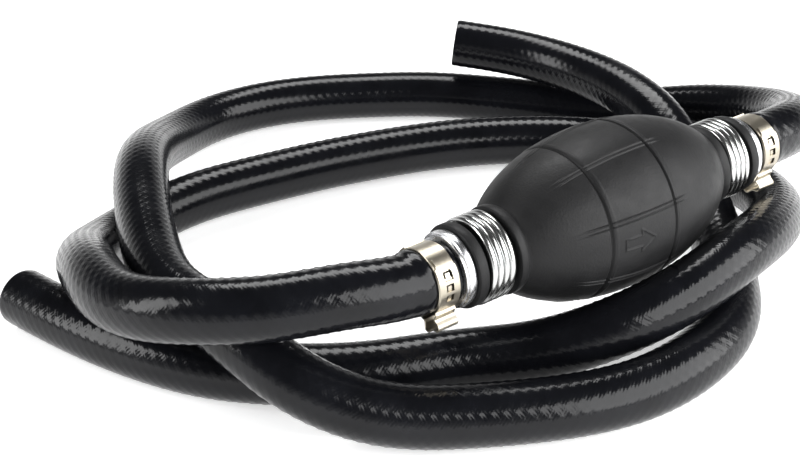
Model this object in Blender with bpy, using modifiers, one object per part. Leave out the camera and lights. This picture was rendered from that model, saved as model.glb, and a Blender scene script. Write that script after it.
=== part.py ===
"""Hand primer siphon: a squeeze bulb between two barbed check-valve fittings,
each fitting clamped into the end of a free braided hose.

Frame: the bulb's axis is X and liquid flows towards +X. The origin is the bulb's centre.
The hoses lie on a flat surface below the bulb, at z = HOSE_REST_Z - HOSE_OD / 2.
"""
import math

import bpy
import bmesh
import numpy as np
from mathutils import Matrix, Vector

MM = 0.001
GAP = 0.3 * MM                     # running and meeting clearance

# squeeze bulb
BULB_R = 24 * MM                   # largest outside radius
BULB_SEMI_LENGTH = 44 * MM         # ellipsoid semi-axis along X
WALL = 3 * MM
SHOULDER_X = 37.2 * MM             # where the ellipsoid meets the neck
COLLAR_R = 12.6 * MM
COIL_SEAT_X = (40.7 * MM, 51.2 * MM)
COIL_SEAT_R = 10.0 * MM
LIP_X = 54.3 * MM                  # outer end of the rubber
LIP_R = 11.8 * MM
NECK_BORE_R = 7.3 * MM
WINDOW_HALF_X = 29 * MM            # half length and half height of a squeeze wall
WINDOW_HALF_Z = 15 * MM

# wire coils round the necks
COIL_WIRE_R = 0.97 * MM
COIL_PITCH = 2.03 * MM
COIL_TURNS = 4
COIL_RADIUS = COIL_SEAT_R + GAP + COIL_WIRE_R

# barbed fittings
FLANGE_X = (LIP_X + GAP, 57.6 * MM)
FLANGE_R = 10.7 * MM
FLANGE_STEP = 0.6 * MM
FLANGE_STEP_R = FLANGE_R - 1.3 * MM
PLUG_START_X = 38.5 * MM
PLUG_R = NECK_BORE_R - GAP
VALVE_BORE_R = 5.6 * MM
STEM_TIP_X = 70.5 * MM
STEM_BORE_R = 3.2 * MM
BARB_R = 5.2 * MM
BARB_ROOT_R = 4.5 * MM
BARB_COUNT = 3

# check valves, each measured from its upstream end
VALVE_LENGTH = 12.7 * MM
VALVE_R = VALVE_BORE_R - GAP
POPPET_R = 3.9 * MM
POPPET_STEM_R = 0.9 * MM
SPRING_R = 2.4 * MM
SPRING_WIRE_R = 0.3 * MM
SPRING_LENGTH = 4.4 * MM
SEAL_R = 4.6 * MM                  # of the O-ring's centreline
SEAL_WIRE_R = 0.6 * MM
SEAT_BORE_R = 2.6 * MM
CAGE_BORE_R = 1.2 * MM
CAGE_HOLE_R = 1.1 * MM
CAGE_HOLE_CIRCLE_R = 3.2 * MM
INLET_VALVE_X = -(FLANGE_X[0] + GAP)
OUTLET_VALVE_X = FLANGE_X[0] - VALVE_LENGTH

# hoses
HOSE_OD = 17 * MM
HOSE_START_X = FLANGE_X[1] + GAP
HOSE_REST_Z = -32 * MM             # centreline height of a hose lying on the surface
HOSE_POINT_SPACING = 19 * MM
BARB_SOCKET_R = BARB_R + GAP
BARB_SOCKET_DEPTH = STEM_TIP_X + GAP - HOSE_START_X

# single-ear clamps
CLAMP_X = (59.4 * MM, 66.1 * MM)
CLAMP_THICKNESS = 0.8 * MM
CLAMP_R = (HOSE_OD / 2 + GAP, HOSE_OD / 2 + GAP + CLAMP_THICKNESS)
EAR_ANGLE = math.radians(62)       # down from the -Y direction, about X
EAR_HEIGHT = 4.6 * MM
EAR_WIDTH = 7.5 * MM
EAR_WALL = 0.9 * MM
CLAMP_WINDOW_WIDTH = 2.6 * MM
CLAMP_WINDOWS = ((-31, 2.4), (-12, 1.7), (8, 1.7))   # degrees down from -Y, height in mm

ROUND_STEPS = 28
SMALL_STEPS = 20

REST = HOSE_REST_Z / MM
INLET_ROUTE = (                    # millimetres, from the inlet fitting to the free end
    (-57.9, 0, 0), (-69, 0, 0), (-85, 4, 1), (-103, 12.5, 0), (-119, 27, -2), (-127, 49, -7),
    (-124, 71, -11), (-116, 92, -19), (-103, 110, -28), (-84, 122, REST), (-61, 126, REST),
    (-37, 124, REST), (-14, 120, REST), (9, 114, REST), (31, 106, REST), (51, 95, REST),
    (70, 80, REST), (84, 62, REST), (91, 40, REST), (88, 17, -29), (75, -4, -24), (55, -18, -18),
    (33, -26, -14), (8, -29, -16), (-14, -24, -22), (-34, -10, -30), (-52, 2, REST),
    (-72, 11, REST), (-90, 23, REST), (-106, 39, REST), (-118, 60, REST), (-126, 82, REST),
    (-132, 105, REST),
)
OUTLET_ROUTE = (                   # millimetres, from the outlet fitting to the free end
    (57.9, 0, 0), (69, 0, 0), (85, 3, -2), (102, 15, -8), (112, 36, -16), (110, 62, -24),
    (98, 87, -31), (84, 107, REST), (69, 126, REST), (53, 143, REST), (35, 156, REST),
    (16, 167, REST), (-4, 174, REST), (-26, 173, -31), (-48, 161, -27), (-67, 142, -19),
    (-82, 120, -13), (-93, 99, -13), (-102, 78, -14), (-108, 56, -14), (-106, 32, -14.5),
    (-99, 9, -22), (-83, -8, -30), (-63, -21, REST), (-43, -32, REST), (-22, -39, REST),
    (1, -39, REST), (24, -31, REST), (43, -14, REST), (59, 6, -31), (71, 27, -24), (79, 49, -16),
    (83, 73, -13), (82, 98, -13), (73, 120, -12), (59, 136, -10),
)


# ---------------------------------------------------------------- scene and materials

def clear_scene():
    for obj in list(bpy.data.objects):
        bpy.data.objects.remove(obj, do_unlink=True)
    for collection in list(bpy.data.collections):
        bpy.data.collections.remove(collection)


def new_collection(name):
    collection = bpy.data.collections.new(name)
    bpy.context.scene.collection.children.link(collection)
    return collection


def make_material(name, color, roughness, metallic=0.0):
    material = bpy.data.materials.new(name)
    material.use_nodes = True
    shader = material.node_tree.nodes["Principled BSDF"]
    shader.inputs["Base Color"].default_value = (*color, 1.0)
    shader.inputs["Roughness"].default_value = roughness
    shader.inputs["Metallic"].default_value = metallic
    material.diffuse_color = (*color, 1.0)
    return material


def add_object(name, data, material=None, collection=None):
    obj = bpy.data.objects.new(name, data)
    (collection or PARTS).objects.link(obj)
    if material:
        data.materials.append(material)
    return obj


# ---------------------------------------------------------------- shape helpers

def turned(name, outline, material=None, steps=ROUND_STEPS, collection=None):
    """A closed (x, radius) outline turned about X. It starts at the high-x end and runs
    along the outer side first, then back along the bore. One that starts and ends on the
    axis stays open there, for a solid piece."""
    mesh = bpy.data.meshes.new(name)
    points = [(radius, 0, x) for x, radius in outline]
    edges = [(i, i + 1) for i in range(len(points) - 1)]
    if outline[0][1] > 0:
        edges.append((len(points) - 1, 0))
    mesh.from_pydata(points, edges, [])
    obj = add_object(name, mesh, material, collection)
    obj.rotation_euler = (0, math.pi / 2, 0)
    screw = obj.modifiers.new("Screw", "SCREW")
    screw.axis = "Z"
    screw.steps = screw.render_steps = steps
    screw.use_merge_vertices = True
    screw.merge_threshold = 0.00001
    return obj


def mirrored_outline(outline):
    """The same outline on the other side of x = 0, still outer side first."""
    return [(-x, radius) for x, radius in reversed(outline)]


def wire(name, points, radius, material, resolution=2):
    curve = bpy.data.curves.new(name, "CURVE")
    curve.dimensions = "3D"
    curve.bevel_depth = radius
    curve.bevel_resolution = resolution
    curve.use_fill_caps = True
    spline = curve.splines.new("POLY")
    spline.points.add(len(points) - 1)
    for target, point in zip(spline.points, points):
        target.co = (*point, 1.0)
    return add_object(name, curve, material)


def helix(start_x, length, radius, turns, points_per_turn):
    count = turns * points_per_turn + 1
    points = []
    for i in range(count):
        angle = math.tau * i / points_per_turn
        x = start_x + length * i / (count - 1)
        points.append((x, radius * math.cos(angle), radius * math.sin(angle)))
    return points


def to_mesh_object(curve_object):
    """Replace a curve object by the closed mesh it evaluates to."""
    depsgraph = bpy.context.evaluated_depsgraph_get()
    mesh = bpy.data.meshes.new_from_object(curve_object.evaluated_get(depsgraph))
    welded = bmesh.new()
    welded.from_mesh(mesh)
    bmesh.ops.remove_doubles(welded, verts=welded.verts, dist=0.00001)
    welded.to_mesh(mesh)
    welded.free()
    name = curve_object.name
    matrix = curve_object.matrix_world.copy()
    bpy.data.objects.remove(curve_object, do_unlink=True)
    obj = add_object(name, mesh)
    obj.matrix_world = matrix
    return obj


def boolean(obj, cutter, operation):
    modifier = obj.modifiers.new(operation.title(), "BOOLEAN")
    modifier.operation = operation
    modifier.solver = "EXACT"
    modifier.object = cutter


def hide_cutter(obj):
    obj.hide_render = True
    obj.display_type = "WIRE"
    return obj


def cylinder_cutter(name, start, direction, radius, length, scale=(1, 1), steps=ROUND_STEPS):
    """A cylinder from start along direction. scale stretches its round section."""
    mesh = bpy.data.meshes.new(name)
    solid = bmesh.new()
    bmesh.ops.create_cone(solid, cap_ends=True, segments=steps, radius1=radius, radius2=radius,
                          depth=length)
    bmesh.ops.transform(solid, verts=solid.verts, matrix=Matrix.Diagonal((*scale, 1, 1)))
    bmesh.ops.translate(solid, verts=solid.verts, vec=(0, 0, length / 2))
    turn = Vector((0, 0, 1)).rotation_difference(Vector(direction)).to_matrix().to_4x4()
    bmesh.ops.transform(solid, verts=solid.verts, matrix=Matrix.Translation(start) @ turn)
    solid.to_mesh(mesh)
    solid.free()
    return hide_cutter(add_object(name, mesh, collection=CUTTERS))


def box_mesh(name, size, matrix, material=None, collection=None):
    mesh = bpy.data.meshes.new(name)
    solid = bmesh.new()
    bmesh.ops.create_cube(solid, size=1.0, matrix=matrix @ Matrix.Diagonal((*size, 1)))
    solid.to_mesh(mesh)
    solid.free()
    return add_object(name, mesh, material, collection)


def smooth_route(route, spacing):
    """The route's start, then points about every spacing along a natural cubic spline from its
    second point on, so that the run over the barb stays straight."""
    route = np.array(route, float)
    spans = np.linalg.norm(np.diff(route, axis=0), axis=1)
    knots = np.concatenate([[0.0], np.cumsum(spans)])
    count = len(route)
    system, right = np.eye(count), np.zeros((count, 3))
    for i in range(1, count - 1):
        before, after = spans[i - 1], spans[i]
        system[i, i - 1:i + 2] = before, 2 * (before + after), after
        right[i] = 6 * ((route[i + 1] - route[i]) / after - (route[i] - route[i - 1]) / before)
    bend = np.linalg.solve(system, right)
    free = np.linspace(knots[1], knots[-1], round((knots[-1] - knots[1]) / spacing) + 1)
    places = np.concatenate([[0.0], free])
    index = np.clip(np.searchsorted(knots, places) - 1, 0, count - 2)
    span = spans[index][:, None]
    left = (knots[index + 1] - places)[:, None]
    past = (places - knots[index])[:, None]
    return ((bend[index] * left**3 + bend[index + 1] * past**3) / (6 * span)
            + (route[index] / span - bend[index] * span / 6) * left
            + (route[index + 1] / span - bend[index + 1] * span / 6) * past)


# ---------------------------------------------------------------- bulb

def bulb_radius(x):
    return BULB_R * math.sqrt(1 - (x / BULB_SEMI_LENGTH) ** 2)


def bulb_outline():
    """Outer side from the outlet lip to the inlet lip, then back through the cavity."""
    belly_steps = 14
    belly = [SHOULDER_X * (1 - 2 * i / belly_steps) for i in range(belly_steps + 1)]
    neck = [
        (LIP_X, LIP_R - 0.5 * MM), (LIP_X - 0.5 * MM, LIP_R), (COIL_SEAT_X[1] + 0.4 * MM, LIP_R),
        (COIL_SEAT_X[1], LIP_R - 0.4 * MM), (COIL_SEAT_X[1], COIL_SEAT_R),
        (COIL_SEAT_X[0], COIL_SEAT_R), (COIL_SEAT_X[0], COLLAR_R), (SHOULDER_X + 0.8 * MM, COLLAR_R),
    ]
    outer = neck + [(x, bulb_radius(x)) for x in belly] + mirrored_outline(neck)
    cavity_end = SHOULDER_X - 1.2 * MM
    inner = [(-x * cavity_end / SHOULDER_X, bulb_radius(x * cavity_end / SHOULDER_X) - WALL)
             for x in belly]
    bore = [(-LIP_X, NECK_BORE_R), (-cavity_end, NECK_BORE_R)]
    return outer + bore + inner + [(cavity_end, NECK_BORE_R), (LIP_X, NECK_BORE_R)]


def window_cutter(name, shrink, side):
    """An elliptical prism along Y, through both walls or only through one side's."""
    half_x, half_z = WINDOW_HALF_X - shrink, WINDOW_HALF_Z - shrink
    reach = BULB_R + 4 * MM
    if side:
        start, direction, length = (0, side * MM, 0), (0, side, 0), reach
    else:
        start, direction, length = (0, -reach, 0), (0, 1, 0), 2 * reach
    return cylinder_cutter(name, start, direction, half_z, length, (half_x / half_z, 1))


def build_bulb():
    shell = turned("bulb_shell", bulb_outline(), RUBBER)
    boolean(shell, window_cutter("window_cutter", 0, 0), "DIFFERENCE")
    for name, side in (("squeeze_wall_front", -1), ("squeeze_wall_back", 1)):
        wall = turned(name, bulb_outline(), WALL_RUBBER)
        boolean(wall, window_cutter(name + "_cutter", GAP, side), "INTERSECT")


# ---------------------------------------------------------------- fittings and valves

def fitting_outline():
    """The outlet fitting: barbed stem outside, plug inside, bored right through."""
    stem_length = STEM_TIP_X - FLANGE_X[1]
    pitch = stem_length / BARB_COUNT
    outer = [(STEM_TIP_X, BARB_ROOT_R - 0.5 * MM)]
    for i in range(BARB_COUNT):
        crest_x = STEM_TIP_X - (i + 0.75) * pitch
        outer += [(crest_x, BARB_R), (crest_x - 0.3 * MM, BARB_ROOT_R)]
    outer += [
        (FLANGE_X[1], BARB_ROOT_R), (FLANGE_X[1], FLANGE_STEP_R),
        (FLANGE_X[1] - FLANGE_STEP, FLANGE_STEP_R), (FLANGE_X[1] - FLANGE_STEP, FLANGE_R - 0.3 * MM),
        (FLANGE_X[1] - FLANGE_STEP - 0.3 * MM, FLANGE_R), (FLANGE_X[0] + 0.3 * MM, FLANGE_R),
        (FLANGE_X[0], FLANGE_R - 0.3 * MM), (FLANGE_X[0], PLUG_R), (PLUG_START_X, PLUG_R),
    ]
    shoulder_x = FLANGE_X[0] + GAP
    return outer + [
        (PLUG_START_X, VALVE_BORE_R), (shoulder_x, VALVE_BORE_R), (shoulder_x, STEM_BORE_R),
        (STEM_TIP_X, STEM_BORE_R),
    ]


def ring_outline(start, end, outer, inner):
    return [(end, outer), (start, outer), (start, inner), (end, inner)]


def build_valve(end, start):
    """Upstream end at start; liquid pushes the poppet towards +X against its spring."""
    seal_x = start + 0.9 * MM
    seal = [(seal_x + SEAL_WIRE_R * math.cos(a), SEAL_R + SEAL_WIRE_R * math.sin(a))
            for a in (math.tau * i / 10 for i in range(10))]
    turned(end + "_valve_o_ring", seal, SEAL, SMALL_STEPS)
    turned(end + "_valve_seat", ring_outline(start + 1.8 * MM, start + 4.0 * MM, VALVE_R, SEAT_BORE_R),
           WHITE_PLASTIC, SMALL_STEPS)
    disc_x, stem_end_x = start + 4.3 * MM, start + 11.7 * MM
    disc_end_x = disc_x + 1.2 * MM
    turned(end + "_valve_poppet", [
        (stem_end_x, 0), (stem_end_x, POPPET_STEM_R), (disc_end_x, POPPET_STEM_R),
        (disc_end_x, POPPET_R), (disc_x, POPPET_R), (disc_x, 0)], VALVE_PLASTIC, SMALL_STEPS)
    spring_x = disc_end_x + GAP + SPRING_WIRE_R
    coiled_length = SPRING_LENGTH - 2 * SPRING_WIRE_R
    wire(end + "_valve_spring", helix(spring_x, coiled_length, SPRING_R, 4, 10), SPRING_WIRE_R,
         SPRING_STEEL)
    cage = turned(end + "_valve_cage",
                  ring_outline(start + 10.5 * MM, start + VALVE_LENGTH, VALVE_R, CAGE_BORE_R),
                  WHITE_PLASTIC, SMALL_STEPS)
    for i in range(4):
        angle = math.tau * i / 4
        place = (start + 10 * MM, CAGE_HOLE_CIRCLE_R * math.cos(angle),
                 CAGE_HOLE_CIRCLE_R * math.sin(angle))
        hole = cylinder_cutter(f"{end}_cage_hole_{i + 1}", place, (1, 0, 0), CAGE_HOLE_R, 4 * MM,
                               steps=12)
        boolean(cage, hole, "DIFFERENCE")


def build_coil(end, side):
    length = COIL_TURNS * COIL_PITCH
    middle = side * (COIL_SEAT_X[0] + COIL_SEAT_X[1]) / 2
    points = helix(middle - length / 2, length, COIL_RADIUS, COIL_TURNS, 16)
    wire(end + "_neck_coil", points, COIL_WIRE_R, BRIGHT_STEEL)


def build_clamp(end, side):
    """A turned band with a hollow pinched ear standing on it and locking windows cut in it."""
    middle_x = side * (CLAMP_X[0] + CLAMP_X[1]) / 2
    width = CLAMP_X[1] - CLAMP_X[0]
    half = width / 2
    band = turned(end + "_hose_clamp",
                  ring_outline(middle_x - half, middle_x + half, CLAMP_R[1], CLAMP_R[0]),
                  CLAMP_STEEL)
    ear_turn = Matrix.Rotation(EAR_ANGLE, 4, "X")
    reach = CLAMP_R[0] + 0.4 * MM + EAR_HEIGHT / 2
    ear = box_mesh(end + "_ear", (width - 0.6 * MM, EAR_HEIGHT, EAR_WIDTH),
                   Matrix.Translation((middle_x, 0, 0)) @ ear_turn @ Matrix.Translation((0, -reach, 0)),
                   collection=CUTTERS)
    hollow_y = CLAMP_R[1] + EAR_HEIGHT * 0.45
    hollow = box_mesh(end + "_ear_hollow", (width + 2 * MM, EAR_HEIGHT * 0.5, EAR_WIDTH - 2 * EAR_WALL),
                      Matrix.Translation((middle_x, 0, 0)) @ ear_turn
                      @ Matrix.Translation((0, -hollow_y, 0)), collection=CUTTERS)
    boolean(band, hide_cutter(ear), "UNION")
    boolean(band, hide_cutter(hollow), "DIFFERENCE")
    for number, (angle, size) in enumerate(CLAMP_WINDOWS, start=1):
        turn = Matrix.Rotation(math.radians(angle), 4, "X")
        window = box_mesh(f"{end}_window_{number}", (CLAMP_WINDOW_WIDTH, 4 * MM, size * MM),
                          Matrix.Translation((middle_x, 0, 0)) @ turn
                          @ Matrix.Translation((0, -CLAMP_R[1], 0)), collection=CUTTERS)
        boolean(band, hide_cutter(window), "DIFFERENCE")


def build_hose(end, side, route):
    points = smooth_route(route, HOSE_POINT_SPACING / MM) * MM
    hose = to_mesh_object(wire(end + "_hose", points, HOSE_OD / 2, HOSE_PVC, resolution=4))
    start = (side * (HOSE_START_X - 1 * MM), 0, 0)
    socket = cylinder_cutter(end + "_barb_socket", start, (side, 0, 0), BARB_SOCKET_R,
                             BARB_SOCKET_DEPTH + 1 * MM, steps=24)
    boolean(hose, socket, "DIFFERENCE")


def build_end(end, side, valve_x, route):
    outline = fitting_outline() if side > 0 else mirrored_outline(fitting_outline())
    turned(end + "_fitting", outline, FITTING_METAL, 24)
    build_valve(end, valve_x)
    build_coil(end, side)
    build_clamp(end, side)
    build_hose(end, side, route)


clear_scene()
PARTS = new_collection("hand_primer_siphon")
CUTTERS = new_collection("cutters")
RUBBER = make_material("bulb_rubber", (0.035, 0.035, 0.038), 0.75)
WALL_RUBBER = make_material("wall_rubber", (0.045, 0.045, 0.048), 0.75)
HOSE_PVC = make_material("hose_pvc", (0.012, 0.012, 0.015), 0.2)
BRIGHT_STEEL = make_material("coil_steel", (0.80, 0.80, 0.80), 0.15, 1.0)
CLAMP_STEEL = make_material("clamp_steel", (0.74, 0.70, 0.62), 0.3, 1.0)
FITTING_METAL = make_material("fitting_metal", (0.78, 0.79, 0.80), 0.3, 1.0)
SPRING_STEEL = make_material("spring_steel", (0.6, 0.6, 0.6), 0.3, 1.0)
SEAL = make_material("seal_rubber", (0.02, 0.02, 0.02), 0.6)
WHITE_PLASTIC = make_material("valve_body_plastic", (0.8, 0.8, 0.78), 0.4)
VALVE_PLASTIC = make_material("poppet_plastic", (0.15, 0.25, 0.55), 0.4)

build_bulb()
build_end("inlet", -1, INLET_VALVE_X, INLET_ROUTE)
build_end("outlet", 1, OUTLET_VALVE_X, OUTLET_ROUTE)
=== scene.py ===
"""Hand primer siphon: visual model.

A rubber squeeze bulb between two fittings, with wire coils on its necks, ear clamps on the
hose ends, and two free braided hoses lying in loops. Frame: bulb axis X, flow towards +X,
origin at the bulb's centre, the surface that it all lies on at z = FLOOR_Z.
"""
import math

import bmesh
import bpy
import numpy as np
from mathutils import Matrix, Vector


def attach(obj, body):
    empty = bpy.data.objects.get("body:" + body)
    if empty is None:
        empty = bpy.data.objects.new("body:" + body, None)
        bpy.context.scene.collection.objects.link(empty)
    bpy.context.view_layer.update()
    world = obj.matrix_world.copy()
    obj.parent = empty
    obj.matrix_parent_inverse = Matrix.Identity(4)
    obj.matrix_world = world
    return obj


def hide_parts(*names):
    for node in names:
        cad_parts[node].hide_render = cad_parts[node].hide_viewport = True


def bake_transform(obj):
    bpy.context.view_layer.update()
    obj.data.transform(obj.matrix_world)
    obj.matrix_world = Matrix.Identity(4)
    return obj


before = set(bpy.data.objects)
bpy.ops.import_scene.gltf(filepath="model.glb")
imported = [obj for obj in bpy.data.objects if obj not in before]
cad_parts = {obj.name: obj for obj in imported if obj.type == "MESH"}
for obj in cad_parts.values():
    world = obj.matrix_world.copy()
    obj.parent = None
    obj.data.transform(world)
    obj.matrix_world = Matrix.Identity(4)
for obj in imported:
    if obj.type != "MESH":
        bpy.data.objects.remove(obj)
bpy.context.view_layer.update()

MM = 0.001
FLOOR_Z = -40.9 * MM

# ---------------------------------------------------------------- dimensions

BULB_R = 24 * MM
BULB_SEMI_LENGTH = 44 * MM
BULB_WALL = 3 * MM
SHOULDER_X = 37.2 * MM
COLLAR_R = 12.6 * MM
COIL_SEAT_X = (40.7 * MM, 51.2 * MM)
COIL_SEAT_R = 10.0 * MM
LIP_X = 54.3 * MM
LIP_R = 11.8 * MM
NECK_BORE_R = 7.3 * MM

GROOVE_X = (-17.0 * MM, 5.5 * MM)      # two moulded grooves round the belly
GROOVE_HALF_WIDTH = 0.7 * MM
GROOVE_DEPTH = 0.6 * MM
RIB_STEP = math.radians(45)            # double ribs, every 45 degrees, none on the parting line
RIB_X = (-27 * MM, 12 * MM)
RIB_SPACING = 1.15 * MM
RIB_HALF_WIDTH = 0.42 * MM
RIB_HEIGHT = 0.34 * MM
ARROW_OUTLINE = (                      # flow arrow, mm along X and mm up the panel
    (-13.0, 0.7), (-13.0, 3.9), (-7.6, 3.9), (-7.6, 5.6), (-3.0, 2.3), (-7.6, -1.0), (-7.6, 0.7),
)
ARROW_HALF_WIDTH = 0.36 * MM
ARROW_HEIGHT = 0.32 * MM
RIB_HOLLOW = 0.10 * MM                 # the dip that a double rib stands in
GROOVE_LIP = 0.12 * MM                 # the low swell beside each groove

COIL_WIRE_R = 0.97 * MM
COIL_PITCH = 2.03 * MM
COIL_TURNS = 4
COIL_RADIUS = 11.27 * MM

FLANGE_X = (54.6 * MM, 57.6 * MM)
FLANGE_R = 10.7 * MM
PLUG_START_X = 38.5 * MM
PLUG_R = 7.0 * MM
VALVE_BORE_R = 5.6 * MM
STEM_TIP_X = 70.5 * MM
STEM_BORE_R = 3.2 * MM
BARB_R = 4.95 * MM
BARB_ROOT_R = 4.4 * MM
BARB_COUNT = 3

HOSE_R = 8.5 * MM
HOSE_BORE_R = 5.0 * MM
HOSE_START_X = 57.9 * MM
HOSE_ROUND_STEPS = 48
HOSE_STEP = 0.79 * MM
BRAID_CELLS_ROUND = 12                 # carriers in each direction
BRAID_CELL_LENGTH = 3.16 * MM
BRAID_HEIGHT = 0.13 * MM
CLAMP_BULGE = 0.5 * MM                 # the hose swells past the clamp, and less before it
MOUTH_BULGE = 0.3 * MM
END_ROUNDING = 0.2 * MM
END_ROUNDING_LENGTH = 0.5 * MM
BORE_STRETCH = 0.35 * MM               # the bore is wider over the barbs
BORE_END_FLARE = 0.25 * MM

CLAMP_X = (59.4 * MM, 66.1 * MM)
CLAMP_INNER_R = 8.75 * MM
BAND_THICKNESS = 0.42 * MM
EAR_ANGLE = math.radians(62)
EAR_HEIGHT = 4.5 * MM
EAR_WIDTH = 7.2 * MM
CLAMP_WINDOWS = (                      # degrees down from -Y, height, width, rounded top
    (-31, 3.3 * MM, 2.9 * MM, True), (-9, 2.1 * MM, 2.4 * MM, False), (9, 1.9 * MM, 2.4 * MM, False),
)
WINDOW_REACH = 1.6 * MM                # how deep the cutters stand through the bands
WINDOW_SLOTS = (                       # width, height, offset along X and up, in window sizes
    (1.00, 0.30, 0.00, 0.35),
    (0.30, 1.00, -0.35, 0.00),
    (0.20, 1.00, 0.40, 0.00),
)
BAND_GAP = 0.02 * MM
BAND_TIP = -62.0                       # degrees down from -Y, where the outer layer starts
BAND_TAIL = 150.0                      # degrees that it runs on past the ear
TIP_NARROWING = 0.75 * MM
TIP_TAPER = (2.2 * MM, 3.4 * MM)

INLET_ROUTE = (                        # millimetres, from the inlet fitting to the free end
    (-57.9, 0, 0), (-69, 0, 0), (-85, 4, 1), (-103, 12.5, 0), (-119, 27, -2), (-127, 49, -7),
    (-124, 71, -11), (-116, 92, -19), (-103, 110, -28), (-84, 122, -32), (-61, 126, -32),
    (-37, 124, -32), (-14, 120, -32), (9, 114, -32), (31, 106, -32), (51, 95, -32),
    (70, 80, -32), (84, 62, -32), (91, 40, -32), (88, 17, -29), (75, -4, -24), (55, -18, -18),
    (33, -26, -14), (8, -29, -16), (-14, -24, -22), (-34, -10, -30), (-52, 2, -32),
    (-72, 11, -32), (-90, 23, -32), (-106, 39, -32), (-118, 60, -32), (-126, 82, -32),
    (-132, 105, -32),
)
OUTLET_ROUTE = (                       # millimetres, from the outlet fitting to the free end
    (57.9, 0, 0), (69, 0, 0), (85, 3, -2), (102, 15, -8), (112, 36, -16), (110, 62, -24),
    (98, 87, -31), (84, 107, -32), (69, 126, -32), (53, 143, -32), (35, 156, -32),
    (16, 167, -32), (-4, 174, -32), (-26, 173, -31), (-48, 161, -27), (-67, 142, -19),
    (-82, 120, -13), (-93, 99, -13), (-102, 78, -14), (-108, 56, -14), (-106, 32, -14.5),
    (-99, 9, -22), (-83, -8, -30), (-63, -21, -32), (-43, -32, -32), (-22, -39, -32),
    (1, -39, -32), (24, -31, -32), (43, -14, -32), (59, 6, -31), (71, 27, -24), (79, 49, -16),
    (83, 73, -13), (82, 98, -13), (73, 120, -12), (59, 136, -10),
)


# ---------------------------------------------------------------- small helpers

def smoothstep(edge0, edge1, value):
    t = np.clip((value - edge0) / (edge1 - edge0), 0, 1)
    return t * t * (3 - 2 * t)


def bead(distance, half_width):
    """A smooth ridge profile, 1 on the centre line and 0 beyond half_width."""
    t = np.clip(np.abs(distance) / half_width, 0, 1)
    return 0.5 + 0.5 * np.cos(math.pi * t)


def link_mesh(name, mesh, material, sharp_degrees=38):
    mesh.materials.append(material)
    mesh.shade_smooth()
    mesh.set_sharp_from_angle(angle=math.radians(sharp_degrees))
    obj = bpy.data.objects.new(name, mesh)
    bpy.context.scene.collection.objects.link(obj)
    return obj


def grid_mesh(name, points, wrap_rows, wrap_columns, uv_rows=None, uv_columns=None, cap_ends=False):
    """A mesh of quads over a rows x columns x 3 array. uv_rows and uv_columns give the UV map
    along the rows and round the columns, one value more than there are rows or columns where
    that direction wraps."""
    rows, columns = points.shape[:2]
    mesh = bpy.data.meshes.new(name)
    row_spans = rows if wrap_rows else rows - 1
    column_spans = columns if wrap_columns else columns - 1
    i, j = np.meshgrid(np.arange(row_spans), np.arange(column_spans), indexing="ij")
    next_i, next_j = (i + 1) % rows, (j + 1) % columns
    faces = np.stack([i * columns + j, next_i * columns + j,
                      next_i * columns + next_j, i * columns + next_j], -1).reshape(-1, 4)
    faces = faces.tolist()
    if cap_ends:
        faces.append(list(range(columns)))
        faces.append(list(range(rows * columns - 1, (rows - 1) * columns - 1, -1)))
    mesh.from_pydata(points.reshape(-1, 3).tolist(), [], faces)
    if uv_rows is not None:
        u = np.stack([uv_rows[i], uv_rows[i + 1], uv_rows[i + 1], uv_rows[i]], -1)
        v = np.stack([uv_columns[j], uv_columns[j], uv_columns[j + 1], uv_columns[j + 1]], -1)
        layer = mesh.uv_layers.new(name="along")
        values = np.stack([u, v], -1).reshape(-1)
        padded = np.zeros(2 * len(mesh.loops))
        padded[:len(values)] = values
        layer.data.foreach_set("uv", padded)
    return mesh


def face_outwards(mesh):
    work = bmesh.new()
    work.from_mesh(mesh)
    bmesh.ops.recalc_face_normals(work, faces=work.faces)
    work.to_mesh(mesh)
    work.free()
    return mesh


def place(obj, body, slot_name, *nodes):
    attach(obj, body)
    if nodes:
        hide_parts(*nodes)
    return obj


# ---------------------------------------------------------------- node materials

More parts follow.
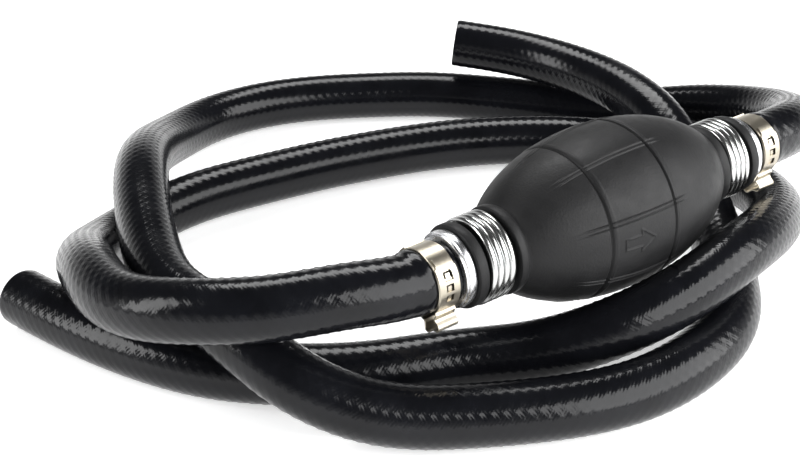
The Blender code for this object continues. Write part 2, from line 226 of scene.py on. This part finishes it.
class Paint:
    """A node material while it is put together."""

    def __init__(self, name, color, roughness, metallic=0.0, specular=0.5):
        self.material = bpy.data.materials.new(name)
        self.material.use_nodes = True
        self.tree = self.material.node_tree
        self.shader = self.tree.nodes["Principled BSDF"]
        self.shader.inputs["Base Color"].default_value = (*color, 1)
        self.shader.inputs["Roughness"].default_value = roughness
        self.shader.inputs["Metallic"].default_value = metallic
        self.shader.inputs["Specular IOR Level"].default_value = specular
        self.object_space = self.node("ShaderNodeTexCoord").outputs["Object"]

    def node(self, kind, **settings):
        node = self.tree.nodes.new(kind)
        for key, value in settings.items():
            setattr(node, key, value)
        return node

    def link(self, source, target):
        self.tree.links.new(source, target)

    def feed(self, socket, value):
        """Link a socket or set a plain value."""
        if isinstance(value, bpy.types.NodeSocket):
            self.link(value, socket)
        else:
            socket.default_value = value

    def math(self, operation, a, b=0.0):
        node = self.node("ShaderNodeMath", operation=operation)
        self.feed(node.inputs[0], a)
        self.feed(node.inputs[1], b)
        return node.outputs[0]

    def noise(self, scale, detail=3.0, stretch=(1, 1, 1)):
        mapping = self.node("ShaderNodeMapping")
        mapping.inputs["Scale"].default_value = stretch
        self.link(self.object_space, mapping.inputs["Vector"])
        noise = self.node("ShaderNodeTexNoise")
        noise.inputs["Scale"].default_value = scale
        noise.inputs["Detail"].default_value = detail
        self.link(mapping.outputs[0], noise.inputs["Vector"])
        return noise.outputs["Fac"]

    def ramp(self, value, low, high, from_low=0.3, from_high=0.7):
        node = self.node("ShaderNodeMapRange")
        self.feed(node.inputs["Value"], value)
        node.inputs["From Min"].default_value = from_low
        node.inputs["From Max"].default_value = from_high
        node.inputs["To Min"].default_value = low
        node.inputs["To Max"].default_value = high
        return node.outputs[0]

    def colors(self, factor, first, second):
        node = self.node("ShaderNodeMix", data_type="RGBA")
        self.feed(node.inputs["Factor"], factor)
        node.inputs["A"].default_value = (*first, 1)
        node.inputs["B"].default_value = (*second, 1)
        return node.outputs["Result"]

    def bump(self, height, distance, strength=1.0, normal=None):
        node = self.node("ShaderNodeBump")
        node.inputs["Distance"].default_value = distance
        node.inputs["Strength"].default_value = strength
        self.link(height, node.inputs["Height"])
        if normal is not None:
            self.link(normal, node.inputs["Normal"])
        return node.outputs["Normal"]

    def finish(self, color=None, roughness=None, normal=None):
        if color is not None:
            self.link(color, self.shader.inputs["Base Color"])
        if roughness is not None:
            self.link(roughness, self.shader.inputs["Roughness"])
        if normal is not None:
            self.link(normal, self.shader.inputs["Normal"])
        return self.material


def rubber_material(name, dark, light, roughness):
    paint = Paint(name, dark, roughness, specular=0.24)
    cloud = paint.noise(60, 4)
    speck = paint.noise(1500, 2)
    color = paint.colors(paint.ramp(cloud, 0, 1), dark, light)
    grain = paint.bump(speck, 0.00014, 0.45)
    rough = paint.ramp(paint.noise(250, 3), roughness - 0.05, roughness + 0.07)
    return paint.finish(color, rough, grain)


def hose_material():
    """Glossy soft PVC over a braid: thread ridges run both ways round the hose."""
    paint = Paint("hose_gloss_pvc", (0.006, 0.006, 0.008), 0.2, specular=0.24)
    uv = paint.node("ShaderNodeUVMap", uv_map="along")
    split = paint.node("ShaderNodeSeparateXYZ")
    paint.link(uv.outputs[0], split.inputs[0])
    along = paint.math("MULTIPLY", split.outputs[0], math.tau / BRAID_CELL_LENGTH)
    around = paint.math("MULTIPLY", split.outputs[1], math.tau * BRAID_CELLS_ROUND)
    first = paint.math("ADD", along, around)
    second = paint.math("SUBTRACT", along, around)
    over = paint.math("MULTIPLY", paint.math("SINE", paint.math("MULTIPLY", first, 0.5)),
                      paint.math("SINE", paint.math("MULTIPLY", second, 0.5)))
    chooser = paint.ramp(over, 0, 1, -0.12, 0.12)
    threads_a = paint.math("COSINE", paint.math("MULTIPLY", first, 3.0))
    threads_b = paint.math("COSINE", paint.math("MULTIPLY", second, 3.0))
    difference = paint.math("SUBTRACT", threads_a, threads_b)
    threads = paint.math("ADD", threads_b, paint.math("MULTIPLY", difference, chooser))
    cloud = paint.noise(90, 4)
    uneven = paint.math("MULTIPLY", threads, paint.ramp(paint.noise(140, 2), 0.45, 1.0))
    ridges = paint.bump(uneven, 0.00006, 0.14)
    smears = paint.bump(paint.noise(420, 3), 0.00006, 0.35, ridges)
    color = paint.colors(paint.ramp(cloud, 0, 1), (0.0032, 0.0034, 0.0044), (0.0060, 0.0064, 0.0082))
    rough = paint.ramp(paint.noise(120, 4), 0.12, 0.22)
    return paint.finish(color, rough, smears)


def metal_material(name, color, tint, roughness, stretch, scale):
    """Polished or brushed metal, with fine marks that run where stretch is small."""
    paint = Paint(name, color, roughness, 1.0)
    marks = paint.noise(scale, 3, stretch)
    cloud = paint.noise(180, 3)
    shade = paint.colors(paint.ramp(cloud, 0, 1), color, tint)
    rough = paint.ramp(marks, roughness * 0.9, roughness * 1.15)
    return paint.finish(shade, rough, paint.bump(marks, 0.000006, 0.2))


def plastic_material(name, color, tint, roughness):
    paint = Paint(name, color, roughness)
    shade = paint.colors(paint.ramp(paint.noise(220, 3), 0, 1), color, tint)
    rough = paint.ramp(paint.noise(500, 2), roughness - 0.04, roughness + 0.08)
    return paint.finish(shade, rough, paint.bump(paint.noise(900, 2), 0.00004, 0.3))


# ---------------------------------------------------------------- hoses

def smooth_route(route, spacing):
    """The route's start, then points about every spacing along a natural cubic spline from its
    second point on, and evenly before it."""
    route = np.array(route, float)
    spans = np.linalg.norm(np.diff(route, axis=0), axis=1)
    knots = np.concatenate([[0.0], np.cumsum(spans)])
    count = len(route)
    system, right = np.eye(count), np.zeros((count, 3))
    for i in range(1, count - 1):
        before, after = spans[i - 1], spans[i]
        system[i, i - 1:i + 2] = before, 2 * (before + after), after
        right[i] = 6 * ((route[i + 1] - route[i]) / after - (route[i] - route[i - 1]) / before)
    bend = np.linalg.solve(system, right)
    places = np.linspace(0, knots[-1], round(knots[-1] / spacing) + 1)
    index = np.clip(np.searchsorted(knots, places) - 1, 0, count - 2)
    span = spans[index][:, None]
    left = (knots[index + 1] - places)[:, None]
    past = (places - knots[index])[:, None]
    points = ((bend[index] * left**3 + bend[index + 1] * past**3) / (6 * span)
              + (route[index] / span - bend[index] * span / 6) * left
              + (route[index + 1] / span - bend[index + 1] * span / 6) * past)
    straight = places < knots[1]
    share = (places[straight] / knots[1])[:, None]
    points[straight] = route[0] * (1 - share) + route[1] * share
    return points


def carried_frames(points):
    """Two directions across the path at each point, carried along it without twist."""
    tangents = np.gradient(points, axis=0)
    tangents /= np.linalg.norm(tangents, axis=1)[:, None]
    across = np.array([0.0, -1.0, 0.0])
    firsts = np.zeros_like(points)
    for i, tangent in enumerate(tangents):
        across = across - tangent * (across @ tangent)
        across = across / np.linalg.norm(across)
        firsts[i] = across
    return firsts, np.cross(tangents, firsts)


def hose_outer_radius(distance, total, angles):
    """Outer radius over the hose: it swells beside the clamp and shows its braid."""
    start = CLAMP_X[0] - HOSE_START_X
    end = CLAMP_X[1] - HOSE_START_X
    swell = CLAMP_BULGE * np.exp(-((distance - end - 1.3 * MM) / (1.6 * MM)) ** 2)
    swell += MOUTH_BULGE * np.exp(-((distance - start + 0.9 * MM) / (0.8 * MM)) ** 2)
    inside = smoothstep(start - 0.6 * MM, start, distance) * (1 - smoothstep(end, end + 0.6 * MM, distance))
    along = math.tau * distance[:, None] / BRAID_CELL_LENGTH
    around = BRAID_CELLS_ROUND * angles[None, :]
    cells = np.cos(0.5 * (along + around)) ** 2 + np.cos(0.5 * (along - around)) ** 2 - 1
    from_end = np.minimum(distance, total - distance)
    rounded = END_ROUNDING * (1 - smoothstep(0, END_ROUNDING_LENGTH, from_end)) ** 2
    even = (1 - inside)[:, None] * smoothstep(0, 1.2 * MM, from_end)[:, None]
    return (HOSE_R + swell - rounded)[:, None] + BRAID_HEIGHT * cells * even


def tube_rows(path, firsts, seconds, rows, radii, angles):
    """Rings of points round the path at the given rows."""
    round_first = np.cos(angles)[None, :, None] * firsts[rows][:, None, :]
    round_second = np.sin(angles)[None, :, None] * seconds[rows][:, None, :]
    return path[rows][:, None, :] + radii[:, :, None] * (round_first + round_second)


def build_hose(end, route, material):
    path = smooth_route(route, HOSE_STEP / MM) * MM
    steps = np.linalg.norm(np.diff(path, axis=0), axis=1)
    distance = np.concatenate([[0.0], np.cumsum(steps)])
    total = distance[-1]
    firsts, seconds = carried_frames(path)
    angles = np.arange(HOSE_ROUND_STEPS) * math.tau / HOSE_ROUND_STEPS
    rows = np.arange(len(path))
    outer = tube_rows(path, firsts, seconds, rows, hose_outer_radius(distance, total, angles), angles)
    bore_rows = rows[::-6]
    if bore_rows[-1] != 0:
        bore_rows = np.append(bore_rows, 0)
    stretched = distance[bore_rows] < STEM_TIP_X - HOSE_START_X + 2 * MM
    bore_radius = HOSE_BORE_R + BORE_STRETCH * stretched
    ends = np.minimum(distance[bore_rows], total - distance[bore_rows])
    bore_radius = bore_radius + BORE_END_FLARE * (ends < 0.1 * MM)
    radii = np.repeat(bore_radius[:, None], len(angles), 1)
    bore = tube_rows(path, firsts, seconds, bore_rows, radii, angles)
    points = np.concatenate([outer, bore])
    uv_rows = np.concatenate([distance, distance[bore_rows], [0.0]])
    uv_columns = np.linspace(0, 1, HOSE_ROUND_STEPS + 1)
    mesh = face_outwards(grid_mesh(end + "_hose_visual", points, True, True, uv_rows, uv_columns))
    hose = link_mesh(end + "_hose_visual", mesh, material, 50)
    place(hose, "pump_body", "hose_pvc", end + "_hose")
    return hose


# ---------------------------------------------------------------- bulb

def belly_radius(x):
    return BULB_R * np.sqrt(np.maximum(0, 1 - (x / BULB_SEMI_LENGTH) ** 2))


def segment_distance(points, start, end):
    """Distance from each (x, y) point to the segment."""
    start, end = np.array(start, float), np.array(end, float)
    along = end - start
    t = np.clip(((points - start) @ along) / (along @ along), 0, 1)
    return np.linalg.norm(points - start - t[..., None] * along, axis=-1)


def relief(x, angle, radius):
    """Height of the moulded detail over the belly, at x and the angle up from -Y."""
    height = np.zeros(np.broadcast(x, angle).shape)
    fade = smoothstep(RIB_X[0], RIB_X[0] + 4 * MM, x) * (1 - smoothstep(RIB_X[1] - 4 * MM, RIB_X[1], x))
    nearest = (np.floor(angle / RIB_STEP) + 0.5) * RIB_STEP
    aside = (angle - nearest) * radius
    for line in (-1, 1):
        height += RIB_HEIGHT * fade * bead(aside - line * RIB_SPACING / 2, RIB_HALF_WIDTH)
    height -= RIB_HOLLOW * fade * bead(aside, RIB_SPACING * 1.6)
    place_on_panel = np.stack(np.broadcast_arrays(x, angle * radius), -1)
    corners = [(a * MM, b * MM) for a, b in ARROW_OUTLINE]
    for start, end in zip(corners, corners[1:] + corners[:1]):
        line = bead(segment_distance(place_on_panel, start, end), ARROW_HALF_WIDTH)
        height = np.maximum(height, ARROW_HEIGHT * line * (np.abs(angle) < RIB_STEP / 2))
    for groove in GROOVE_X:
        cut = bead(x - groove, GROOVE_HALF_WIDTH)
        height = height * (1 - smoothstep(0, 0.3, cut)) - GROOVE_DEPTH * cut
        height += GROOVE_LIP * bead(x - groove - 1.9 * GROOVE_HALF_WIDTH, GROOVE_HALF_WIDTH)
    return height


def refined(start, end, coarse, places, reach, fine):
    """Sorted stations from start to end, every coarse step, and every fine step near places."""
    stations = list(np.linspace(start, end, round((end - start) / coarse) + 1))
    for place_at in places:
        stations += list(np.arange(place_at - reach, place_at + reach, fine))
    stations = np.array(sorted(s for s in stations if start <= s <= end))
    keep = np.concatenate([[True], np.diff(stations) > 0.4 * fine])
    return stations[keep]


def neck_profile():
    """(x, radius) from the belly's shoulder out to the lip, outside only, for the +X neck."""
    return [
        (SHOULDER_X + 0.25 * MM, 12.55 * MM), (SHOULDER_X + 0.7 * MM, 12.3 * MM),
        (SHOULDER_X + 1.1 * MM, 12.45 * MM), (SHOULDER_X + 1.5 * MM, COLLAR_R),
        (COIL_SEAT_X[0] - 0.5 * MM, COLLAR_R), (COIL_SEAT_X[0] - 0.15 * MM, COLLAR_R - 0.12 * MM),
        (COIL_SEAT_X[0], COLLAR_R - 0.5 * MM), (COIL_SEAT_X[0], COIL_SEAT_R),
        (COIL_SEAT_X[1], COIL_SEAT_R), (COIL_SEAT_X[1], LIP_R - 0.6 * MM),
        (COIL_SEAT_X[1] + 0.15 * MM, LIP_R - 0.2 * MM), (COIL_SEAT_X[1] + 0.5 * MM, LIP_R),
        (LIP_X - 0.7 * MM, LIP_R), (LIP_X - 0.2 * MM, LIP_R - 0.2 * MM), (LIP_X, LIP_R - 0.7 * MM),
        (LIP_X, NECK_BORE_R),
    ]


def build_bulb_half(side, name, wall_node, material):
    """Half of the bulb, from the parting line at y = 0 round to the other, with its cavity."""
    arrow_x = np.arange(-14, -2, 0.3) * MM
    belly_x = refined(-SHOULDER_X, SHOULDER_X, 1.4 * MM, GROOVE_X, 2.9 * MM, 0.16 * MM)
    belly_x = np.unique(np.concatenate([belly_x, arrow_x]))
    belly_x = belly_x[np.concatenate([[True], np.diff(belly_x) > 0.05 * MM])]
    outlet = neck_profile()
    inlet = [(-x, r) for x, r in reversed(outlet)]
    cavity_x = np.linspace(SHOULDER_X - 1.2 * MM, -SHOULDER_X + 1.2 * MM, 30)
    outer = inlet + [(x, float(belly_radius(x))) for x in belly_x] + outlet
    inner = [(x, float(belly_radius(x)) - BULB_WALL) for x in cavity_x]
    inner = [(cavity_x[0], NECK_BORE_R)] + inner + [(cavity_x[-1], NECK_BORE_R)]
    rib_angles = [RIB_STEP * (i + 0.5) for i in range(-2, 2)]
    fine = 0.2 * MM / BULB_R
    angles = refined(-math.pi / 2, math.pi / 2, math.radians(3), rib_angles, 2.2 * MM / BULB_R, fine)
    if side < 0:
        arrow_angles = np.arange(-1.5, 6.2, 0.3) * MM / BULB_R
        angles = np.unique(np.concatenate([angles, arrow_angles]))
        angles = angles[np.concatenate([[True], np.diff(angles) > 0.3 * fine])]
    outline = np.array(outer + inner)
    x = np.repeat(outline[:, :1], len(angles), 1)
    radius = np.repeat(outline[:, 1:], len(angles), 1)
    angle = np.repeat(angles[None, :], len(outline), 0)
    belly = slice(len(inlet), len(inlet) + len(belly_x))
    mark = angle if side < 0 else angle + math.pi
    radius[belly] += relief(x[belly], mark[belly], belly_radius(x[belly]))
    points = np.stack([x, side * radius * np.cos(angle), radius * np.sin(angle)], -1)
    mesh = grid_mesh(name, points, True, False)
    rim = len(angles)
    count = len(outline)
    work = bmesh.new()
    work.from_mesh(mesh)
    work.verts.ensure_lookup_table()
    work.faces.new([work.verts[i * rim] for i in range(count)])
    work.faces.new([work.verts[i * rim + rim - 1] for i in range(count)])
    bmesh.ops.recalc_face_normals(work, faces=work.faces)
    work.to_mesh(mesh)
    work.free()
    half = link_mesh(name, mesh, material, 30)
    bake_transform(half)
    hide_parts(wall_node, "bulb_shell")
    return half


# ---------------------------------------------------------------- turned and wire pieces

def turned(name, outline, material, steps=96, sharp=38):
    """A closed (x, radius) outline turned about X."""
    outline = np.array(outline)
    angles = np.arange(steps) * math.tau / steps
    x = np.repeat(outline[:, :1], steps, 1)
    radius = outline[:, 1:]
    points = np.stack([x, radius * np.cos(angles), radius * np.sin(angles)], -1)
    return link_mesh(name, face_outwards(grid_mesh(name, points, True, True)), material, sharp)


def fitting_outline():
    """The outlet fitting's outline: barbed stem, rolled flange and plug, bored right through."""
    pitch = (STEM_TIP_X - FLANGE_X[1]) / BARB_COUNT
    outer = [(STEM_TIP_X, BARB_ROOT_R - 0.5 * MM), (STEM_TIP_X - 0.3 * MM, BARB_ROOT_R - 0.2 * MM)]
    for i in range(BARB_COUNT):
        crest = STEM_TIP_X - (i + 0.75) * pitch
        outer += [(crest + 0.15 * MM, BARB_R - 0.05 * MM), (crest, BARB_R),
                  (crest - 0.3 * MM, BARB_ROOT_R)]
    face, back = FLANGE_X[1], FLANGE_X[0]
    step_r = FLANGE_R - 0.75 * MM
    outer += [
        (face, BARB_ROOT_R), (face, step_r - 0.3 * MM), (face - 0.1 * MM, step_r),
        (face - 0.45 * MM, step_r + 0.02 * MM), (face - 0.65 * MM, step_r + 0.1 * MM),
        (face - 0.75 * MM, FLANGE_R - 0.35 * MM), (face - 0.9 * MM, FLANGE_R - 0.1 * MM),
        (face - 1.2 * MM, FLANGE_R), (back + 0.35 * MM, FLANGE_R), (back + 0.1 * MM, FLANGE_R - 0.1 * MM),
        (back, FLANGE_R - 0.35 * MM), (back, PLUG_R), (PLUG_START_X + 0.3 * MM, PLUG_R),
        (PLUG_START_X, PLUG_R - 0.3 * MM),
    ]
    shoulder = back + 0.3 * MM
    return outer + [(PLUG_START_X, VALVE_BORE_R), (shoulder, VALVE_BORE_R),
                    (shoulder, STEM_BORE_R), (STEM_TIP_X, STEM_BORE_R)]


def build_fitting(end, side, material):
    outline = [(side * x, radius) for x, radius in fitting_outline()]
    fitting = turned(end + "_fitting_visual", outline, material)
    return place(fitting, "pump_body", "fitting_metal", end + "_fitting")


def sweep_wire(name, path, radius, material, steps=20):
    """A closed wire along path with rounded ends."""
    firsts, seconds = carried_frames(path)
    angles = np.arange(steps) * math.tau / steps
    radii = np.full(len(path), radius)
    cap = 5
    for i in range(cap):
        share = math.sin(math.pi / 2 * (i + 0.3) / cap)
        radii[i] = radii[-1 - i] = radius * share
    rows = np.arange(len(path))
    points = tube_rows(path, firsts, seconds, rows, np.repeat(radii[:, None], steps, 1), angles)
    spans = np.linalg.norm(np.diff(path, axis=0), axis=1)
    along = np.concatenate([[0.0], np.cumsum(spans)])
    mesh = grid_mesh(name, points, False, True, along, np.linspace(0, 1, steps + 1), cap_ends=True)
    return link_mesh(name, face_outwards(mesh), material, 60)


def build_coil(end, side, material):
    """Four turns side by side; the wire's two ends are cut on the lower side."""
    start_angle = math.radians(-118)
    turns = COIL_TURNS
    count = 72 * turns + 1
    share = np.linspace(0, 1, count)
    angle = start_angle + math.tau * turns * share
    middle = side * (COIL_SEAT_X[0] + COIL_SEAT_X[1]) / 2
    x = middle + (share - 0.5) * turns * COIL_PITCH
    path = np.stack([x, -COIL_RADIUS * np.cos(angle), COIL_RADIUS * np.sin(angle)], -1)
    tip_in = np.linspace(0.86, 0.0, 5)[:, None] * COIL_WIRE_R
    lead_in = path[0] + (path[0] - path[1]) / np.linalg.norm(path[0] - path[1]) * tip_in
    lead_out = path[-1] + (path[-1] - path[-2]) / np.linalg.norm(path[-1] - path[-2]) * tip_in[::-1]
    path = np.concatenate([lead_in[:-1], path, lead_out[1:]])
    coil = sweep_wire(end + "_neck_coil_visual", path, COIL_WIRE_R, material)
    return place(coil, "pump_body", "coil_steel", end + "_neck_coil")


# ---------------------------------------------------------------- clamps

def ribbon(name, path, half_width, thickness, material, middle_x):
    """A strip of sheet metal that follows path, an n x 2 list of (y, z), with rounded edges.
    half_width is one number for each point of the path."""
    path = np.array(path)
    tangent = np.gradient(path, axis=0)
    tangent /= np.linalg.norm(tangent, axis=1)[:, None]
    outward = np.stack([tangent[:, 1], -tangent[:, 0]], -1)
    corner = thickness * 0.35
    rim = []
    half = thickness / 2
    for x_sign, in_x, in_t, t_sign in ((-1, 0, 1, -1), (-1, 1, 0, -1), (1, 1, 0, -1), (1, 0, 1, -1),
                                       (1, 0, 1, 1), (1, 1, 0, 1), (-1, 1, 0, 1), (-1, 0, 1, 1)):
        rim.append((x_sign, in_x * corner, t_sign * (half - in_t * corner)))
    rows = []
    for point, normal, width in zip(path, outward, half_width):
        row = []
        for x_sign, inset, lift in rim:
            place_yz = point + normal * lift
            row.append((middle_x + x_sign * (width - inset), place_yz[0], place_yz[1]))
        rows.append(row)
    mesh = grid_mesh(name, np.array(rows), False, True, cap_ends=True)
    return link_mesh(name, face_outwards(mesh), material, 40)


def polar(radius, degrees):
    """(y, z) at an angle measured down from the -Y direction."""
    a = math.radians(degrees)
    return (-radius * math.cos(a), -radius * math.sin(a))


def arc(radius, start, end, step=3.0):
    count = max(2, round(abs(end - start) / step) + 1)
    return [polar(radius, a) for a in np.linspace(start, end, count)]


def ear_path(radius, ear):
    """The pinched ear, from one side of its foot over its crest to the other."""
    turn = math.radians(ear)
    out = np.array([-math.cos(turn), -math.sin(turn)])
    side = np.array([math.sin(turn), -math.cos(turn)])
    foot, waist, crest = EAR_WIDTH / 2, EAR_WIDTH * 0.33, EAR_WIDTH * 0.42
    top = EAR_HEIGHT / MM
    rise = [(foot, 0.15), (foot - 0.4 * MM, 0.35), (waist, 1.1), (waist, 1.8), (crest, top - 1.2),
            (crest, top - 0.7), (crest - 0.5 * MM, top - 0.2), (crest - 1.2 * MM, top),
            (0.5 * MM, top - 0.55)]
    shape = [(-across, up) for across, up in rise] + rise[::-1]
    return [tuple(out * (radius + up * MM) + side * across) for across, up in shape]


def densify(points, step):
    points = np.array(points)
    spans = np.linalg.norm(np.diff(points, axis=0), axis=1)
    knots = np.concatenate([[0.0], np.cumsum(spans)])
    places = np.linspace(0, knots[-1], round(knots[-1] / step) + 1)
    return np.stack([np.interp(places, knots, points[:, k]) for k in range(2)], -1)


def cutter_box(size, place_at, turn):
    mesh = bpy.data.meshes.new("cutter")
    work = bmesh.new()
    bmesh.ops.create_cube(work, size=1.0, matrix=turn @ Matrix.Translation(place_at)
                          @ Matrix.Diagonal((*size, 1)))
    work.to_mesh(mesh)
    work.free()
    obj = bpy.data.objects.new("cutter", mesh)
    bpy.context.scene.collection.objects.link(obj)
    return obj


def cutter_disc(radius, depth, place_at, turn, steps=20):
    mesh = bpy.data.meshes.new("cutter")
    work = bmesh.new()
    stand = Matrix.Rotation(math.pi / 2, 4, "X")
    bmesh.ops.create_cone(work, cap_ends=True, segments=steps, radius1=radius, radius2=radius,
                          depth=depth, matrix=turn @ Matrix.Translation(place_at) @ stand)
    work.to_mesh(mesh)
    work.free()
    obj = bpy.data.objects.new("cutter", mesh)
    bpy.context.scene.collection.objects.link(obj)
    return obj


def carve(obj, cutter):
    """Cut the cutter out of the mesh and drop the cutter."""
    modifier = obj.modifiers.new("carve", "BOOLEAN")
    modifier.operation = "DIFFERENCE"
    modifier.solver = "EXACT"
    modifier.object = cutter
    depsgraph = bpy.context.evaluated_depsgraph_get()
    mesh = bpy.data.meshes.new_from_object(obj.evaluated_get(depsgraph))
    obj.modifiers.clear()
    obj.data = mesh
    bpy.data.objects.remove(cutter, do_unlink=True)


def build_clamp(end, side, material):
    """A band, an outer layer with locking windows over it, and a pinched ear."""
    middle = side * (CLAMP_X[0] + CLAMP_X[1]) / 2
    half = (CLAMP_X[1] - CLAMP_X[0]) / 2
    ear = math.degrees(EAR_ANGLE)
    inner_r = CLAMP_INNER_R + BAND_THICKNESS / 2
    outer_r = inner_r + BAND_THICKNESS + BAND_GAP
    foot = math.degrees(EAR_WIDTH / 2 / outer_r)

    inner = densify(arc(inner_r, ear - 360 + foot + 4, ear - foot - 6, 3), 0.6 * MM)
    inner_band = ribbon(end + "_clamp_inner_band", inner, np.full(len(inner), half),
                        BAND_THICKNESS, material, middle)

    outer = (arc(outer_r, BAND_TIP, ear - foot, 2) + ear_path(outer_r, ear)
             + arc(outer_r, ear + foot, ear + foot + BAND_TAIL, 3))
    outer = densify(outer, 0.35 * MM)
    along = np.linspace(0, 1, len(outer)) * np.linalg.norm(np.diff(outer, axis=0), axis=1).sum()
    widths = half - TIP_NARROWING * (1 - smoothstep(*TIP_TAPER, along))
    outer_band = ribbon(end + "_hose_clamp_visual", outer, widths, BAND_THICKNESS, material, middle)

    for degrees, height, width, rounded in CLAMP_WINDOWS:
        turn = Matrix.Translation((middle, 0, 0)) @ Matrix.Rotation(math.radians(degrees), 4, "X")
        lower = 0.0
        if rounded:
            crown = (0, -outer_r, height / 2 - width / 2)
            carve(outer_band, cutter_disc(width / 2, WINDOW_REACH, crown, turn))
            height, lower = height - width / 2, -width / 4
        carve(outer_band, cutter_box((width, WINDOW_REACH, height), (0, -outer_r, lower), turn))
        for slot_width, slot_height, aside, up in WINDOW_SLOTS:
            size = (width * slot_width, WINDOW_REACH, height * slot_height)
            carve(inner_band, cutter_box(size, (width * aside, -inner_r, height * up), turn))
    place(outer_band, "pump_body", "clamp_steel", end + "_hose_clamp")
    place(inner_band, "pump_body", "clamp_steel")
    return outer_band


# ---------------------------------------------------------------- assembly

RUBBER = rubber_material("bulb_matte_rubber", (0.0065, 0.0065, 0.007), (0.011, 0.011, 0.0115), 0.5)
HOSE = hose_material()
CHROME = metal_material("coil_chrome", (0.60, 0.60, 0.59), (0.54, 0.55, 0.55), 0.20, (1, 1, 1), 900)
CLAMP = metal_material("clamp_satin_steel", (0.50, 0.46, 0.375), (0.41, 0.37, 0.305), 0.31,
                       (6, 1, 1), 500)
NICKEL = metal_material("fitting_nickel", (0.72, 0.72, 0.73), (0.66, 0.67, 0.69), 0.26,
                        (8, 1, 1), 300)

SEAL = rubber_material("seal_rubber", (0.012, 0.012, 0.012), (0.020, 0.020, 0.020), 0.42)
VALVE_WHITE = plastic_material("valve_white_plastic", (0.80, 0.80, 0.78), (0.72, 0.72, 0.69), 0.38)
VALVE_BLUE = plastic_material("poppet_blue_plastic", (0.12, 0.22, 0.52), (0.09, 0.17, 0.42), 0.36)
SPRING = metal_material("spring_steel", (0.62, 0.62, 0.63), (0.52, 0.52, 0.54), 0.28, (1, 1, 1), 700)
VALVE_LOOKS = {"o_ring": SEAL, "seat": VALVE_WHITE, "cage": VALVE_WHITE, "poppet": VALVE_BLUE,
               "spring": SPRING}

SCENE = bpy.context.scene
CAMERA_PLACE = (-0.26286, -0.24785, 0.198)
CAMERA_TILT = 60                       # degrees up from straight down
CAMERA_HEADING = -37.63
FLOOR_HALF_SIZE = 6.0
FLOOR_GLOW = 0.55
SKY_RISE = (0.05, 0.35)                # the studio's walls fade between these heights
SKY_STRENGTH = (1.0, 0.06)
SOFTBOXES = (                          # name, place, aim, size, watts
    ("overhead", (0.30, 0.50, 0.75), (0, 0.04, 0), (0.60, 0.36), 5.5),
    ("left", (-0.80, 0.30, 0.40), (0, 0.04, 0), (0.34, 0.64), 5.0),
    ("front", (0.40, -0.75, 0.42), (0.05, 0, 0), (1.50, 0.80), 22.0),
)


def dress_valve(end):
    """Give the carried-over valve pieces their node materials."""
    for piece, material in VALVE_LOOKS.items():
        for slot in bpy.data.objects[end + "_valve_" + piece].material_slots:
            slot.material = material


def build_camera():
    data = bpy.data.cameras.new("camera")
    data.sensor_width = 36
    data.lens = 64.8
    camera = bpy.data.objects.new("camera", data)
    camera.location = CAMERA_PLACE
    camera.rotation_euler = (math.radians(CAMERA_TILT), 0, math.radians(CAMERA_HEADING))
    data.clip_start, data.clip_end = 0.01, 20
    SCENE.collection.objects.link(camera)
    SCENE.camera = camera


def build_floor():
    mesh = bpy.data.meshes.new("floor")
    size = FLOOR_HALF_SIZE
    mesh.from_pydata([(-size, -size, FLOOR_Z), (size, -size, FLOOR_Z), (size, size, FLOOR_Z),
                      (-size, size, FLOOR_Z)], [], [(0, 1, 2, 3)])
    paint = Paint("floor_white", (0.9, 0.9, 0.9), 0.7)
    paint.shader.inputs["Emission Color"].default_value = (1, 1, 1, 1)
    paint.shader.inputs["Emission Strength"].default_value = FLOOR_GLOW
    shade = paint.colors(paint.ramp(paint.noise(3, 2), 0, 1), (0.90, 0.90, 0.90), (0.92, 0.92, 0.92))
    floor = link_mesh("floor", mesh, paint.finish(shade))


def area_light(name, place_at, aim, size, power):
    data = bpy.data.lights.new(name, "AREA")
    data.shape = "RECTANGLE"
    data.size, data.size_y = size
    data.energy = power
    light = bpy.data.objects.new(name, data)
    light.location = place_at
    light.rotation_euler = (Vector(aim) - Vector(place_at)).to_track_quat("-Z", "Y").to_euler()
    SCENE.collection.objects.link(light)


def build_lights():
    world = bpy.data.worlds.new("studio")
    SCENE.world = world
    world.use_nodes = True
    nodes, links = world.node_tree.nodes, world.node_tree.links
    coordinates = nodes.new("ShaderNodeTexCoord")
    split = nodes.new("ShaderNodeSeparateXYZ")
    links.new(coordinates.outputs["Generated"], split.inputs[0])
    rise = nodes.new("ShaderNodeMapRange")
    rise.inputs["From Min"].default_value, rise.inputs["From Max"].default_value = SKY_RISE
    rise.inputs["To Min"].default_value, rise.inputs["To Max"].default_value = SKY_STRENGTH
    links.new(split.outputs["Z"], rise.inputs["Value"])
    background = nodes["Background"]
    background.inputs["Color"].default_value = (1, 1, 1, 1)
    links.new(rise.outputs[0], background.inputs["Strength"])
    for name, place_at, aim, size, power in SOFTBOXES:
        area_light(name, place_at, aim, size, power)


build_camera()
build_hose("inlet", INLET_ROUTE, HOSE)
build_hose("outlet", OUTLET_ROUTE, HOSE)
build_bulb_half(-1, "bulb_front_half", "squeeze_wall_front", RUBBER)
build_bulb_half(1, "bulb_back_half", "squeeze_wall_back", RUBBER)
for END, SIDE in (("inlet", -1), ("outlet", 1)):
    build_fitting(END, SIDE, NICKEL)
    build_coil(END, SIDE, CHROME)
    build_clamp(END, SIDE, CLAMP)
    dress_valve(END)
build_floor()
build_lights()
SCENE.view_settings.view_transform = "Standard"
